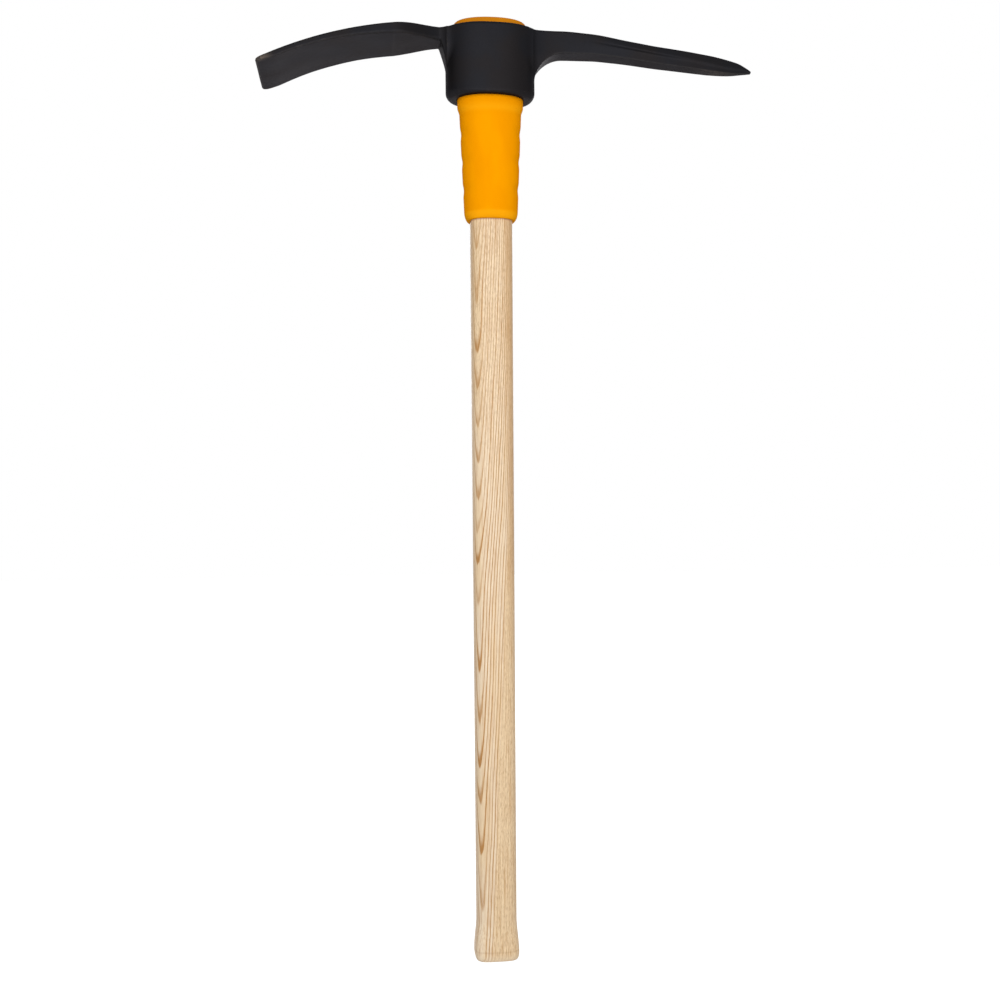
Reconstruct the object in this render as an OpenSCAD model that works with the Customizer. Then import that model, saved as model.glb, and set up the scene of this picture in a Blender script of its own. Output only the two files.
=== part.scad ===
// Pick mattock: a forged head with an adze blade and a pick, on a wedged ash handle.
// The origin is the centre of the butt's face. +Z runs up the handle to the head.
// The adze points along -X and the pick along +X.

/* [Handle] */
// Height of the whole tool, from the butt's face to the top of the crown
overall_h = 914.4; // [700:0.1:1100]
// Width of the handle inside and just under the sleeve, in the plane of the two arms
shoulder_w = 41; // [37:0.1:45]
// Depth of the handle inside and just under the sleeve
shoulder_d = 34.5; // [31:0.1:38]
// Width of the handle at its slimmest, above the butt
grip_w = 39.3; // [34:0.1:43]
// Depth of the handle at its slimmest, above the butt
grip_d = 33; // [29:0.1:37]
// Width of the flared butt
butt_w = 43.4; // [40:0.1:52]
// Depth of the flared butt
butt_d = 36; // [33:0.1:44]
// Length over which the grip flares out into the butt
flare_h = 34; // [20:1:90]
// Height of the rounded edge round the butt's face
butt_edge_h = 6; // [3:0.5:14]
// How far that edge draws in at the butt's face
butt_edge = 2.4; // [1:0.1:5]
// How far the handle's end lies below the top of the crown
handle_recess = 1.2; // [0.5:0.1:3]

/* [Wedges] */
// Thickness of the wooden wedge at its top
kerf_wedge_t = 5; // [3:0.1:7]
// Thickness of the wooden wedge at its foot
kerf_wedge_foot = 1; // [0.6:0.1:2]
// Depth of the wooden wedge in the handle's end
kerf_wedge_h = 48; // [34:1:70]
// Thickness of a steel wedge at its top
steel_wedge_t = 3; // [2:0.1:4]
// Thickness of a steel wedge at its foot
steel_wedge_foot = 0.8; // [0.5:0.1:1.5]
// Length of a steel wedge across the wooden one
steel_wedge_w = 24; // [16:1:27]
// Depth of a steel wedge in the handle's end
steel_wedge_h = 26; // [16:1:32]
// Distance between the two steel wedges
steel_wedge_pitch = 19; // [12:0.5:24]

/* [Sleeve] */
// Wall of the guard at its lip, in the plane of the arms
guard_side_wall = 5.4; // [4:0.1:8]
// Wall of the guard at its lip, across the arms
guard_front_wall = 4.4; // [3:0.1:6]
// How much wider the guard is under the step than at its lip
guard_swell = 8.8; // [3:0.1:12]
// How much wider the sleeve is above the step
band_step = 4; // [2:0.1:8]
// Length of the guard from its lip to the step
guard_h = 104; // [90:1:160]
// Height of the step
step_h = 8; // [5:0.5:14]
// Height of the straight band between the step and the eye
band_h = 6.4; // [2:0.1:12]
// Height of the rounded lip at the guard's lower end
lip_h = 9; // [5:0.5:12]
// Wall left at the end of the lip
lip_edge = 1; // [0.8:0.1:2]
// Height of the crown above the eye
crown_h = 6.6; // [6.2:0.1:14]
// How far the crown's rounded edge draws in
crown_edge = 3.2; // [1:0.1:3.6]
// Height of the crown's rounded edge
crown_edge_h = 5.6; // [2:0.1:6]

/* [Dimples] */
// Dimples one above the other on each flank of the guard
dimple_count = 3; // [1:1:3]
// Distance from the step down to the middle of the first dimple
dimple_start = 18.5; // [14:0.5:24]
// Distance between dimples
dimple_pitch = 27.4; // [20:0.1:28]
// Height of a dimple
dimple_h = 16; // [10:0.5:19]
// Depth of a dimple
dimple_depth = 0.8; // [0.3:0.1:1.5]
// Angle that a dimple covers to each side of the flank
dimple_wrap = 58; // [40:1:70]

/* [Eye] */
// Height of the eye
eye_h = 68.3; // [62:0.1:90]
// How much wider the tapered bore is at its top than at its bottom
eye_taper_w = 8.4; // [4:0.1:12]
// How much deeper the tapered bore is at its top than at its bottom
eye_taper_d = 4.6; // [3:0.1:6]
// Wall of the eye at its bottom, in the plane of the arms
eye_side_wall = 11.2; // [9:0.1:15]
// Wall of the eye at its bottom, across the arms
eye_front_wall = 7.2; // [6:0.1:10]
// Radius of the eye's rounded upper rim
eye_top_edge = 3; // [1.5:0.1:4]
// Radius of the eye's rounded lower rim
eye_bottom_edge = 6.2; // [2:0.1:7]
// How far the eye's top falls at each end, towards an arm
eye_end_fall = 1.9; // [0:0.1:3]
// Length over which the eye's top falls at each end
eye_end_run = 8.7; // [4:0.1:12]
// How much an arm widens where it grows out of the eye, each side
arm_root_side = 4; // [1:0.1:6]

/* [Adze] */
// Distance from the handle's axis to the cutting edge
adze_reach = 224; // [180:1:280]
// Width of the cutting edge
adze_edge_w = 84; // [60:1:110]
// Width of the blade where its shoulders end
adze_shoulder_w = 66; // [50:1:76]
// Distance from the handle's axis to where the shoulders end
adze_shoulder_at = 85; // [80:1:110]
// Width of the neck between the eye and the blade
adze_neck_w = 22; // [18:1:30]
// Thickness of the neck
adze_neck_t = 12; // [9:0.5:16]
// Length of the hollow between the neck's underside and the eye
adze_hollow_run = 6.4; // [4:0.1:16]
// Height of the hollow between the neck's underside and the eye
adze_hollow_h = 27; // [10:0.5:34]
// Thickness of the blade where its shoulders end
adze_shoulder_t = 10.6; // [6:0.1:12]
// Thickness of the blade above its bevel
adze_blade_t = 5.6; // [4:0.1:8]
// Thickness of the cutting edge
adze_edge_t = 2.2; // [1:0.1:3]
// Length of the bevel under the cutting edge
adze_bevel = 20; // [8:1:30]
// Radius of the corners at both ends of the cutting edge
adze_corner = 5; // [1:0.5:12]
// Radius of the arc that the blade's top follows
adze_arc_r = 400; // [380:5:900]
// Distance from the handle's axis to where that arc is level
adze_level_at = 36; // [5:1:40]
// Height of the eye's top above the arc's highest point
adze_drop = 2; // [1:0.1:8]

/* [Pick] */
// Distance from the handle's axis to the tip
pick_reach = 264; // [200:1:330]
// Width of the pick where it leaves the eye
pick_root_w = 28; // [22:0.5:32]
// Height of the pick where it leaves the eye
pick_root_t = 22.2; // [15:0.1:26]
// Width of the tip
pick_tip_w = 5; // [2:0.5:10]
// Height of the tip
pick_tip_t = 2.4; // [1.5:0.1:6]
// How far the pick's top falls from the eye to the tip
pick_fall = 29.5; // [20:0.5:60]
// Height of the eye's top above the pick's root
pick_drop = 1; // [0.8:0.1:6]
// How far the pick's top is narrower than its side ridges, each side
pick_slope = 3.2; // [1:0.1:6]
// Length of the hollow under the pick's root
pick_hollow_run = 34; // [10:0.5:45]
// Height of the hollow under the pick's root
pick_hollow_h = 33; // [8:0.5:38]

/* [Fits] */
// Room on each side between the handle and the sleeve, and round the wedges
wood_fit = 0.1; // [0.05:0.01:0.3]
// Room on each side between the sleeve and the eye
eye_fit = 0.1; // [0.05:0.01:0.3]
// Least wall left beside a rounded edge
least_wall = 1; // [0.5:0.1:1.2]

/* [Hidden] */

// Cuts run past their faces by this much
overrun = 1;
// Points round an oval, and exponents of the ovals: 2 is an ellipse and more is squarer
oval_sides = 48;
handle_square = 2.9;
butt_square = 4;
sleeve_square = 2.1;
crown_square = 2.2;
eye_bottom_square = 2.2;
eye_top_square = 2.4;
// Points round each corner of an arm's section
corner_points = 3;
// Rings in each quarter-round edge, in each dimple, in the hollow of an arm's root and along the arm
edge_rings = 4;
dimple_rings = 6;
root_rings = 7;
arm_rings = 24;

// Heights along the handle
handle_top = overall_h - handle_recess;
eye_top = overall_h - crown_h;
eye_bottom = eye_top - eye_h;
band_bottom = eye_bottom - band_h;
step_bottom = band_bottom - step_h;
lip_bottom = step_bottom - guard_h;
spread_bottom = handle_top - kerf_wedge_h;

// The wedge opens the handle's end by its own thickness and a fit on each face
end_d = shoulder_d + kerf_wedge_t - kerf_wedge_foot;
end_slope = (end_d - shoulder_d) / kerf_wedge_h;

// Sections of the sleeve, from the lip up to the crown
lip_w = shoulder_w + 2 * (wood_fit + guard_side_wall);
lip_d = shoulder_d + 2 * (wood_fit + guard_front_wall);
step_w = lip_w + guard_swell;
band_w = step_w + band_step;
crown_w = band_w + eye_taper_w;
crown_d = lip_d + eye_taper_d;

// Bore and outside of the eye
bore_bottom_w = band_w + 2 * eye_fit;
bore_bottom_d = lip_d + 2 * eye_fit;
bore_top_w = bore_bottom_w + eye_taper_w;
bore_top_d = bore_bottom_d + eye_taper_d;
eye_w = bore_bottom_w + 2 * eye_side_wall;
eye_d = bore_bottom_d + 2 * eye_front_wall;

// Rounded edges, each limited by the wall that carries it
crown_round = min(crown_edge, (crown_d - end_d) / 2 - wood_fit - least_wall);
eye_top_round = min(eye_top_edge, eye_front_wall - eye_taper_d / 2 - least_wall);
eye_bottom_round = min(eye_bottom_edge, eye_front_wall - least_wall);

// Where the arms leave the eye, and where they start inside its wall
arm_sink_share = 0.6;
arm_exit = eye_w / 2;
arm_start = arm_exit - eye_side_wall * arm_sink_share;

// The pick's stations and outline, as shares of its length, its fall and its width
pick_along_shares = [0, 0.14, 0.28, 0.42, 0.56, 0.7, 0.82, 0.9, 0.96, 1];
pick_fall_shares = [0, 0.01, 0.07, 0.2, 0.34, 0.47, 0.59, 0.69, 0.79, 1];
pick_height_shares = [1, 0.96, 0.91, 0.86, 0.82, 0.78, 0.71, 0.58, 0.35, 0];
pick_width_shares = [1, 0.98, 0.94, 0.9, 0.86, 0.78, 0.6, 0.38, 0.16, 0];
pick_ridge_shares = [0.2, 0.24, 0.34, 0.48, 0.6, 0.72, 0.8, 0.8, 0.7, 0.5];
pick_keel_shares = [0.85, 0.8, 0.7, 0.56, 0.44, 0.36, 0.32, 0.32, 0.36, 0.5];
pick_crisp_shares = [0.15, 0.35, 0.8, 1, 1, 1, 1, 1, 1, 1];
// How far corners are rounded, as shares of the arm's height there, and at most of the edge beside a corner
corner_limit_share = 0.45;
adze_top_corner_share = 0.15;
adze_under_corner_share = 0.4;
pick_top_corner_share = 0.1;
soft_ridge_share = 0.3;
crisp_ridge_share = 0.05;
soft_keel_share = 0.4;
crisp_keel_share = 0.14;
// How much of the pick's root hollow lies inside the wall of the eye
hollow_sink_share = 0.08;
// How much of a dimple's reach round the flank is at full depth
dimple_flat_share = 0.5;
// Rings stand closer together near the eye: 1 would space them evenly
root_gather = 1.8;
// How the hollow under the adze's neck curves: 1 is a straight slope, and less is more hollow
adze_hollow_power = 0.7;

function mix(a, b, t) = a + (b - a) * t;
function clamp01(t) = max(0, min(1, t));
function ease(t) = let (c = clamp01(t)) c * c * (3 - 2 * c);
// A quarter-round: 1 where it starts and 0 where it has run out
function hollow(t) = let (c = clamp01(t)) 1 - sqrt(1 - (1 - c) * (1 - c));
// Straight runs through a table of shares
function along(shares, t) =
    lookup(t, [for (i = [0:len(shares) - 1]) [pick_along_shares[i], shares[i]]]);

// One ring of an oval section
function oval_point(w, d, z, square, angle) =
    [w / 2 * sign(cos(angle)) * pow(abs(cos(angle)), 2 / square),
     d / 2 * sign(sin(angle)) * pow(abs(sin(angle)), 2 / square), z];
function oval(w, d, z, square) =
    [for (i = [0:oval_sides - 1]) oval_point(w, d, z, square, 360 * i / oval_sides)];

// A closed outline whose corners are each rounded over a length of the two edges that meet there
function round_corners(corners, cuts) =
    [for (i = [0:len(corners) - 1], k = [0:corner_points - 1])
        let (n = len(corners),
             p = corners[i],
             before = corners[(i + n - 1) % n],
             after = corners[(i + 1) % n],
             a = mix(p, before, min(corner_limit_share, cuts[i] / norm(before - p))),
             b = mix(p, after, min(corner_limit_share, cuts[i] / norm(after - p))),
             t = k / (corner_points - 1))
        mix(mix(a, p, t), mix(p, b, t), t)];

// A skin over rings of equal length, closed at both ends
module loft(rings) {
    sides = len(rings[0]);
    last = (len(rings) - 1) * sides;
    walls = [for (i = [0:len(rings) - 2], j = [0:sides - 1])
        let (a = i * sides + j, b = i * sides + (j + 1) % sides)
        each [[a, b + sides, b], [a, a + sides, b + sides]]];
    caps = [[for (j = [0:sides - 1]) j], [for (j = [sides - 1:-1:0]) last + j]];
    polyhedron([for (r = rings) each r], concat(walls, caps), convexity = 8);
}

// A skin over rings that come back to the first one
module tube(rings) {
    sides = len(rings[0]);
    count = len(rings);
    walls = [for (i = [0:count - 1], j = [0:sides - 1])
        let (n = (i + 1) % count, k = (j + 1) % sides)
        each [[i * sides + j, n * sides + k, i * sides + k],
              [i * sides + j, n * sides + j, n * sides + k]]];
    polyhedron([for (r = rings) each r], walls, convexity = 8);
}

// Depth and width of the handle's socket, or of the handle itself with no room
function socket_ring(z, room) =
    let (d = shoulder_d + max(0, z - spread_bottom) * end_slope)
    oval(shoulder_w + 2 * room, d + 2 * room, z, handle_square);

// The outside of the guard, from the lip's end up to the step
function dimple(z, angle) =
    let (middles = [for (i = [0:dimple_count - 1]) step_bottom - dimple_start - i * dimple_pitch],
         near = min([for (m = middles) abs(z - m)]) / (dimple_h / 2),
         round_flank = abs(sin(angle)) / sin(dimple_wrap))
    dimple_depth * (1 - ease(near))
        * (1 - ease((round_flank - dimple_flat_share) / (1 - dimple_flat_share)));
function guard_w(z) = mix(lip_w, step_w, clamp01((z - lip_bottom) / guard_h));
function guard_ring(z) =
    let (inset = hollow((z - lip_bottom) / lip_h),
         w = guard_w(z) - 2 * (guard_side_wall - lip_edge) * inset,
         d = lip_d - 2 * (guard_front_wall - lip_edge) * inset)
    [for (i = [0:oval_sides - 1])
        let (angle = 360 * i / oval_sides, dent = dimple(z, angle))
        oval_point(w - 2 * dent, d - 2 * dent, z, mix(sleeve_square, handle_square, inset), angle)];
function step_ring(t) =
    oval(mix(step_w, band_w, ease(t)), lip_d, mix(step_bottom, band_bottom, t), sleeve_square);

// Stations of the guard: the lip's rounding, then even steps fine enough for the dimples
function guard_stations() =
    let (plain_top = lip_bottom + lip_h,
         gap = dimple_h / dimple_rings,
         steps = ceil((step_bottom - plain_top) / gap))
    concat([for (k = [0:edge_rings - 1]) lip_bottom + lip_h * (1 - cos(90 * k / edge_rings))],
           [for (k = [0:steps - 1]) mix(plain_top, step_bottom, k / steps)]);

// The crown above the eye: a straight collar and a quarter-round edge
function crown_ring(k) =
    let (angle = 90 * k / edge_rings, inset = crown_round * (1 - cos(angle)))
    oval(crown_w - 2 * inset, crown_d - 2 * inset,
         overall_h - crown_edge_h * (1 - sin(angle)), crown_square);

module overstrike_sleeve() {
    outside = concat(
        [for (z = guard_stations()) guard_ring(z)],
        [for (k = [0:edge_rings]) step_ring(k / edge_rings)],
        [oval(band_w, lip_d, eye_bottom, sleeve_square), oval(crown_w, crown_d, eye_top, crown_square)],
        [for (k = [0:edge_rings]) crown_ring(k)]);
    inside = [for (z = [overall_h, handle_top, spread_bottom, lip_bottom]) socket_ring(z, wood_fit)];
    color("orange") tube(concat(outside, inside));
}

// The handle from the butt's face up, before its end is sawn
function butt_ring(k) =
    let (angle = 90 * k / edge_rings, inset = butt_edge * (1 - sin(angle)))
    oval(butt_w - 2 * inset, butt_d - 2 * inset, butt_edge_h * (1 - cos(angle)), butt_square);
function flare_ring(k) =
    let (t = k / (2 * edge_rings), even = ease(t))
    oval(mix(butt_w, grip_w, even), mix(butt_d, grip_d, even),
         butt_edge_h + flare_h * t, mix(butt_square, handle_square, even));

module handle_blank() {
    below_face = oval(butt_w - 2 * butt_edge, butt_d - 2 * butt_edge, -overrun, butt_square);
    difference() {
        loft(concat(
            [below_face],
            [for (k = [0:edge_rings - 1]) butt_ring(k)],
            [for (k = [0:2 * edge_rings]) flare_ring(k)],
            [for (z = [lip_bottom, spread_bottom, handle_top]) socket_ring(z, 0)]));
        translate([-butt_w, -butt_d, -2 * overrun])
            cube([2 * butt_w, 2 * butt_d, 2 * overrun]);
    }
}

// A wedge standing on its foot, as long as w along X, in the handle's end
module wedge(w, top_t, foot_t, h, room) {
    slope = (top_t - foot_t) / (2 * h);
    translate([-w / 2, 0, handle_top - h])
        rotate([90, 0, 90])
        linear_extrude(height = w)
        polygon([[-foot_t / 2 - room, -room], [foot_t / 2 + room, -room],
                 [top_t / 2 + room + slope * overrun, h + overrun],
                 [-top_t / 2 - room - slope * overrun, h + overrun]]);
}

module kerf(room) wedge(2 * shoulder_w, kerf_wedge_t, kerf_wedge_foot, kerf_wedge_h, room);

module steel_wedge(x, room)
    translate([x, 0, 0])
    rotate([0, 0, 90])
    wedge(steel_wedge_w + 2 * room, steel_wedge_t, steel_wedge_foot, steel_wedge_h, room);

module steel_slots() {
    for (side = [-1, 1]) steel_wedge(side * steel_wedge_pitch / 2, wood_fit);
}

// All of the space at and below the handle's end
module below_end() {
    translate([-shoulder_w, -end_d, 0])
        cube([2 * shoulder_w, 2 * end_d, handle_top]);
}

module handle() {
    color("burlywood") difference() {
        handle_blank();
        kerf(wood_fit);
        steel_slots();
    }
}

module kerf_wedge() {
    color("peru") difference() {
        intersection() {
            handle_blank();
            kerf(0);
        }
        steel_slots();
    }
}

module adze_side_wedge() {
    color("silver") intersection() {
        steel_wedge(-steel_wedge_pitch / 2, 0);
        below_end();
    }
}

module pick_side_wedge() {
    color("silver") intersection() {
        steel_wedge(steel_wedge_pitch / 2, 0);
        below_end();
    }
}

// The eye: an oval block with rounded rims, squarer towards its top, whose top falls at both ends
function eye_ring(k, rim, edge, up) =
    let (angle = 90 * k / edge_rings,
         inset = edge * (1 - sin(angle)),
         z = rim + up * edge * (1 - cos(angle)),
         square = mix(eye_bottom_square, eye_top_square, (z - eye_bottom) / eye_h))
    oval(eye_w - 2 * inset, eye_d - 2 * inset, z, square);

// All of the space above the falling top, at the end on the pick's side
module above_end() {
    translate([arm_exit - eye_end_run, -eye_d, eye_top])
        rotate([0, atan(eye_end_fall / eye_end_run), 0])
        cube([eye_w, 2 * eye_d, eye_h]);
}

module eye() {
    difference() {
        loft(concat(
            [for (k = [0:edge_rings]) eye_ring(k, eye_bottom, eye_bottom_round, 1)],
            [for (k = [edge_rings:-1:0]) eye_ring(k, eye_top, eye_top_round, -1)]));
        above_end();
        mirror([1, 0, 0]) above_end();
    }
}

// The bore follows the sleeve's seat and runs straight past both rims
module eye_bore() {
    loft([
        oval(bore_bottom_w, bore_bottom_d, eye_bottom - overrun, sleeve_square),
        oval(bore_bottom_w, bore_bottom_d, eye_bottom, sleeve_square),
        oval(bore_top_w, bore_top_d, eye_top, crown_square),
        oval(bore_top_w, bore_top_d, eye_top + overrun, crown_square)]);
}

// Places of an arm's rings: in the wall of the eye, along the hollow of its root, and on to its end
function root_stations(run) =
    concat([arm_start], [for (k = [0:root_rings]) arm_exit + run * pow(k / root_rings, root_gather)]);
function arm_stations(run, end) =
    concat(root_stations(run), [for (k = [1:arm_rings]) mix(arm_exit + run, end, k / arm_rings)]);

// The adze, drawn towards +X and then mirrored
function adze_stations() =
    let (end = adze_reach - adze_corner)
    concat(arm_stations(adze_hollow_run, end),
           [for (k = [1:edge_rings]) end + adze_corner * sin(90 * k / edge_rings)]);
function adze_top(s) =
    eye_top - adze_drop - adze_arc_r + sqrt(adze_arc_r * adze_arc_r - pow(s - adze_level_at, 2));
function adze_half_w(s) =
    s < adze_shoulder_at
    ? mix(adze_neck_w, adze_shoulder_w, ease((s - arm_exit) / (adze_shoulder_at - arm_exit))) / 2
    : mix(adze_shoulder_w, adze_edge_w, (s - adze_shoulder_at) / (adze_reach - adze_shoulder_at)) / 2;
function adze_t(s) =
    let (bevel_at = adze_reach - adze_bevel,
         blade = s < adze_shoulder_at
            ? mix(adze_neck_t, adze_shoulder_t, ease((s - arm_exit) / (adze_shoulder_at - arm_exit)))
            : mix(adze_blade_t, adze_shoulder_t,
                  pow(1 - clamp01((s - adze_shoulder_at) / (bevel_at - adze_shoulder_at)), 2)))
    s < bevel_at ? blade : mix(adze_blade_t, adze_edge_t, (s - bevel_at) / adze_bevel);
function adze_ring(s) =
    let (lean = asin((s - adze_level_at) / adze_arc_r),
         root = 1 - pow(clamp01((s - arm_exit) / adze_hollow_run), adze_hollow_power),
         past = clamp01((s - adze_reach) / adze_corner + 1),
         w = adze_half_w(s) + arm_root_side * root - adze_corner * (1 - sqrt(1 - past * past)),
         top = adze_top(s),
         blade = adze_t(s),
         t = blade + adze_hollow_h * root,
         low_x = s - t * sin(lean),
         low_z = top - t * cos(lean),
         corners = [[-w, top, s], [-w, low_z, low_x], [w, low_z, low_x], [w, top, s]],
         over = blade * adze_top_corner_share,
         under = blade * adze_under_corner_share)
    [for (p = round_corners(corners, [over, under, under, over])) [p.z, p.x, p.y]];

module adze() {
    mirror([1, 0, 0]) loft([for (s = adze_stations()) adze_ring(s)]);
}

// The pick: six-sided, with a ridge along each flank and a narrow keel, soft at its root
function pick_ring(s) =
    let (u = clamp01((s - arm_exit) / (pick_reach - arm_exit)),
         root = hollow((s - arm_exit) / pick_hollow_run + hollow_sink_share),
         height = mix(pick_tip_t, pick_root_t, along(pick_height_shares, u)),
         half_w = mix(pick_tip_w, pick_root_w, along(pick_width_shares, u)) / 2
            + arm_root_side * root,
         top = eye_top - pick_drop - pick_fall * along(pick_fall_shares, u),
         low = top - height - pick_hollow_h * root,
         ridge = mix(top, low, along(pick_ridge_shares, u)),
         crisp = along(pick_crisp_shares, u),
         flat = half_w - min(pick_slope, half_w / 2) * crisp,
         keel = half_w * along(pick_keel_shares, u),
         corners = [[flat, top], [-flat, top], [-half_w, ridge],
                    [-keel, low], [keel, low], [half_w, ridge]],
         top_cut = height * pick_top_corner_share,
         side_cut = height * mix(soft_ridge_share, crisp_ridge_share, crisp),
         keel_cut = height * mix(soft_keel_share, crisp_keel_share, crisp))
    [for (p = round_corners(corners, [top_cut, top_cut, side_cut, keel_cut, keel_cut, side_cut]))
        [s, p.x, p.y]];

module pick() {
    loft([for (s = arm_stations(pick_hollow_run, pick_reach)) pick_ring(s)]);
}

module mattock_head() {
    color("dimgray") difference() {
        union() {
            eye();
            adze();
            pick();
        }
        eye_bore();
    }
}

mattock_head();
overstrike_sleeve();
handle();
kerf_wedge();
adze_side_wedge();
pick_side_wedge();
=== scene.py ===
# %% [markdown]
# A pick mattock
#
# The tool has six pieces: a forged head, an orange polymer sleeve, an ash handle, and three wedges that
# spread the handle's end inside the sleeve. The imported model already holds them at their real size, so
# this lesson gives them their finished surfaces. Every mesh is worked out in millimetres and turned into
# metres once. The adze points along -X, the pick along +X, and +Z runs up the handle.

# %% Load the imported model
import math

import bpy
import numpy as np
from mathutils import Matrix, Vector, noise


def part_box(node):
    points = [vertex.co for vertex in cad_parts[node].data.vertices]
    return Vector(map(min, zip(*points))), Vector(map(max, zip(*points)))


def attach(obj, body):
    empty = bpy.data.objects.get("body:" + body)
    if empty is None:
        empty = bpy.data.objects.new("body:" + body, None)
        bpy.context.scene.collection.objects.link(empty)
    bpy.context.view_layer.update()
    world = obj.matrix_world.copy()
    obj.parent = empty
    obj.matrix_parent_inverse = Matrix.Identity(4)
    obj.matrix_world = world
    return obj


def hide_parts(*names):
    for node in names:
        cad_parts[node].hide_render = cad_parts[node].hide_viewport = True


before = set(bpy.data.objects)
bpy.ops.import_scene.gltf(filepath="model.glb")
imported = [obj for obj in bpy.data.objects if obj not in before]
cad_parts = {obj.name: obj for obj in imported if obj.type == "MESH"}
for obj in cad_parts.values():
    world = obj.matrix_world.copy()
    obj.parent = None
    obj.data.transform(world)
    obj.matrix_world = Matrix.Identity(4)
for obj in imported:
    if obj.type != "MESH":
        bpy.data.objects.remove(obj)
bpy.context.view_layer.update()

METRE = 1000.0


def node_box(node):
    """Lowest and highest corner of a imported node, in millimetres."""
    low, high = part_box(node)
    return np.array(low) * METRE, np.array(high) * METRE


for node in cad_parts:
    low, high = node_box(node)
    print(node, "measures", np.round(high - low, 1), "mm")

# %% [markdown]
# The camera stands about 1.2 m in front of the tool, at half its height, and a little towards the adze.
# It could be placed by eye, but a camera is only a point, a direction and a lens, so it is worked out
# instead: the photograph's side and its focal length in pixels give the lens, and a slight roll lets the
# handle lean as the photograph shows it.

# %% The photograph's camera
PHOTO_SIDE = 1000
FOCAL_PIXELS = 1200
SENSOR_W = 36.0
CAMERA_DISTANCE = 1179.4
CAMERA_HEIGHT = 447.9
CAMERA_SIDESTEP = 6.7
CAMERA_AZIMUTH = math.radians(-6.5)
CAMERA_ROLL = math.radians(-0.44)

forward = Vector((-math.sin(CAMERA_AZIMUTH), math.cos(CAMERA_AZIMUTH), 0))
right = Vector((math.cos(CAMERA_AZIMUTH), math.sin(CAMERA_AZIMUTH), 0))
up = Vector((0, 0, 1))


def placed(name, data):
    """A new object in the scene that shows some data: a camera, a lamp or a mesh."""
    made = bpy.data.objects.new(name, data)
    bpy.context.scene.collection.objects.link(made)
    return made


def photo_camera():
    """The camera that took the photograph."""
    data = bpy.data.cameras.new("photo_camera")
    data.sensor_width = SENSOR_W
    data.lens = SENSOR_W * FOCAL_PIXELS / PHOTO_SIDE
    rolled_right = right * math.cos(CAMERA_ROLL) + up * math.sin(CAMERA_ROLL)
    rolled_up = up * math.cos(CAMERA_ROLL) - right * math.sin(CAMERA_ROLL)
    stance = Matrix((rolled_right, rolled_up, -forward)).transposed().to_4x4()
    stance.translation = (right * CAMERA_SIDESTEP - forward * CAMERA_DISTANCE + up * CAMERA_HEIGHT) / METRE
    camera = placed("photo_camera", data)
    camera.matrix_world = stance
    return camera


bpy.context.scene.camera = photo_camera()
bpy.context.scene.view_settings.view_transform = "Standard"
print("camera lens", round(bpy.context.scene.camera.data.lens, 2), "mm")

# %% [markdown]
# A finish is a net of shader nodes. Placing dozens of Math nodes one by one hides what they work out, so
# a small class wraps a node's output and lets Python's own operators add the Math nodes: `1 - mask` is
# then one node. Every other node comes from a single method, which sets the node's options first and its
# sockets after that.

# %% Shader nodes as expressions
def operator(operation):
    """The methods for a wire on an operator's left and on its right."""
    def on_left(self, other):
        return self.math(operation, self, other)

    def on_right(self, other):
        return self.math(operation, other, self)

    return on_left, on_right


class Wire:
    """The output of a node. Arithmetic on it adds Math nodes to its tree."""
    __add__, __radd__ = operator("ADD")
    __sub__, __rsub__ = operator("SUBTRACT")
    __mul__, __rmul__ = operator("MULTIPLY")
    __truediv__, __rtruediv__ = operator("DIVIDE")
    __pow__, __rpow__ = operator("POWER")

    def __init__(self, tree, socket):
        self.tree = tree
        self.socket = socket

    def math(self, operation, *terms):
        return self.tree.node("ShaderNodeMath", {"operation": operation}, dict(enumerate(terms)))

    def __abs__(self):
        return self.math("ABSOLUTE", self)

    def larger(self, other):
        return self.math("MAXIMUM", self, other)

    def smaller(self, other):
        return self.math("MINIMUM", self, other)


class Tree:
    """The node tree of a material or of the world, while it is being wired."""

    def __init__(self, owner):
        owner.use_nodes = True
        self.owner = owner
        self.nodes = owner.node_tree.nodes
        self.links = owner.node_tree.links
        self.nodes.clear()

    def node(self, kind, settings=None, sockets=None, output=0):
        made = self.nodes.new(kind)
        for name, value in (settings or {}).items():
            setattr(made, name, value)
        for key, value in (sockets or {}).items():
            if isinstance(value, Wire):
                self.links.new(value.socket, made.inputs[key])
            else:
                made.inputs[key].default_value = value
        return Wire(self, made.outputs[output]) if made.outputs else None


print("shader helpers ready")

# %% [markdown]
# A few ready-made steps serve every finish here: a soft threshold, colours in layers, noise on stretched
# coordinates, and a bump. Each is one or two calls of the method above. Patterns read the Object
# coordinates, turned into millimetres, so that a size in a finish is the size on the tool.

# %% Steps that all finishes share
MIX_FACTOR, MIX_FIRST, MIX_SECOND, MIX_COLOUR = 0, 6, 7, 2


def srgb(red, green, blue):
    """A colour as a screen shows it, 0 to 255, in the linear light that shaders use."""
    shown = np.array([red, green, blue]) / 255
    linear = np.where(shown <= 0.04045, shown / 12.92, ((shown + 0.055) / 1.055) ** 2.4)
    return (*linear.tolist(), 1.0)


def stretched(vector, factors):
    return vector.tree.node("ShaderNodeVectorMath", {"operation": "MULTIPLY"}, {0: vector, 1: factors})


def new_finish(name):
    """The tree of a new material, and where a point of its surface lies on the tool, in millimetres."""
    tree = Tree(bpy.data.materials.new(name))
    place = tree.node("ShaderNodeTexCoord", output="Object")
    return tree, stretched(place, (METRE,) * 3)


def axis_of(vector, axis):
    return vector.tree.node("ShaderNodeSeparateXYZ", None, {0: vector}, output=axis)


def soft_step(value, low, high):
    """0 below low, 1 above high, and a smooth rise between them."""
    sockets = {"Value": value, "From Min": low, "From Max": high}
    return value.tree.node("ShaderNodeMapRange", {"interpolation_type": "SMOOTHSTEP"}, sockets)


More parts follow.
